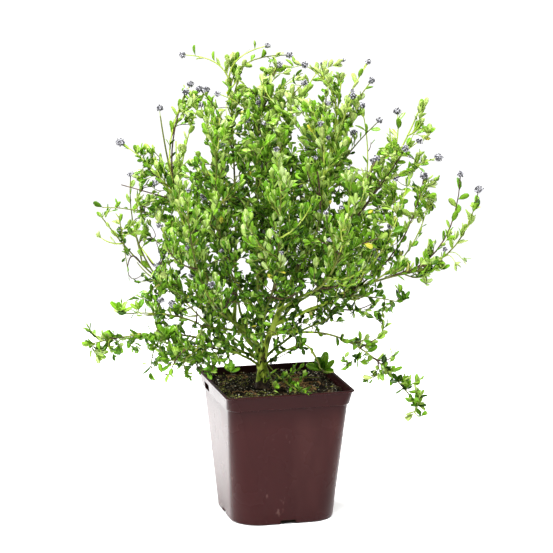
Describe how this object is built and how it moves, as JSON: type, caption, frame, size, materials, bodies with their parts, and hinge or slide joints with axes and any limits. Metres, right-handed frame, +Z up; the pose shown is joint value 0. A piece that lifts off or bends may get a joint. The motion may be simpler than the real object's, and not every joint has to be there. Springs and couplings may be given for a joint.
{
  "type": "california lilac shrub in a square nursery pot",
  "caption": "Small-leaved flowering shrub with a short trunk, spreading boughs and leafy masses with grey-lilac buds, rooted in a brown square plastic nursery pot.",
  "frame": {"origin": "centre of the pot's flat underside, on the surface that it stands on", "axes": "+Z up; X and Y along the pot's sides, with -Y the side that the picture shows as its front"},
  "size_m": [0.375, 0.297, 0.4715],
  "materials": {
    "pot_plastic": "dark burgundy-brown moulded plastic, glossy with faint smudges and streaks",
    "compost": "dark moist potting compost with bark crumbs",
    "bark": "green-brown mottled young bark, semi-matt",
    "foliage": "small leaves from bright lime at the tips to dark green inside, slightly glossy, with grey-lilac bud heads"
  },
  "bodies": {
    "root": {"pot": "pot_plastic", "compost": "compost", "trunk": "bark", "bough_left": "bark", "bough_right": "bark", "bough_centre": "bark", "bough_low_left": "bark", "bough_low_front_left": "bark", "bough_low_front_right": "bark", "bough_basal": "bark", "bough_low_back_left": "bark", "bough_low_back_right": "bark", "bough_back_left": "bark", "bough_front_left": "bark", "bough_reach_left": "bark", "bough_mid_left": "bark", "bough_top_left": "bark", "bough_low_right": "bark", "bough_mid_right": "bark", "bough_back_right": "bark", "bough_front_right": "bark", "bough_high_right": "bark", "bough_front": "bark", "bough_back": "bark", "bough_upper_front_left": "bark", "bough_upper_front_right": "bark", "bough_upper_back_left": "bark", "bough_upper_back_right": "bark", "foliage_left": "foliage", "foliage_right": "foliage", "foliage_centre": "foliage", "foliage_low_left": "foliage", "foliage_low_front_left": "foliage", "foliage_low_front_right": "foliage", "foliage_basal": "foliage", "foliage_low_back_left": "foliage", "foliage_low_back_right": "foliage", "foliage_back_left": "foliage", "foliage_front_left": "foliage", "foliage_reach_left": "foliage", "foliage_mid_left": "foliage", "foliage_top_left": "foliage", "foliage_low_right": "foliage", "foliage_mid_right": "foliage", "foliage_back_right": "foliage", "foliage_front_right": "foliage", "foliage_high_right": "foliage", "foliage_front": "foliage", "foliage_back": "foliage", "foliage_upper_front_left": "foliage", "foliage_upper_front_right": "foliage", "foliage_upper_back_left": "foliage", "foliage_upper_back_right": "foliage"}
  },
  "joints": []
}
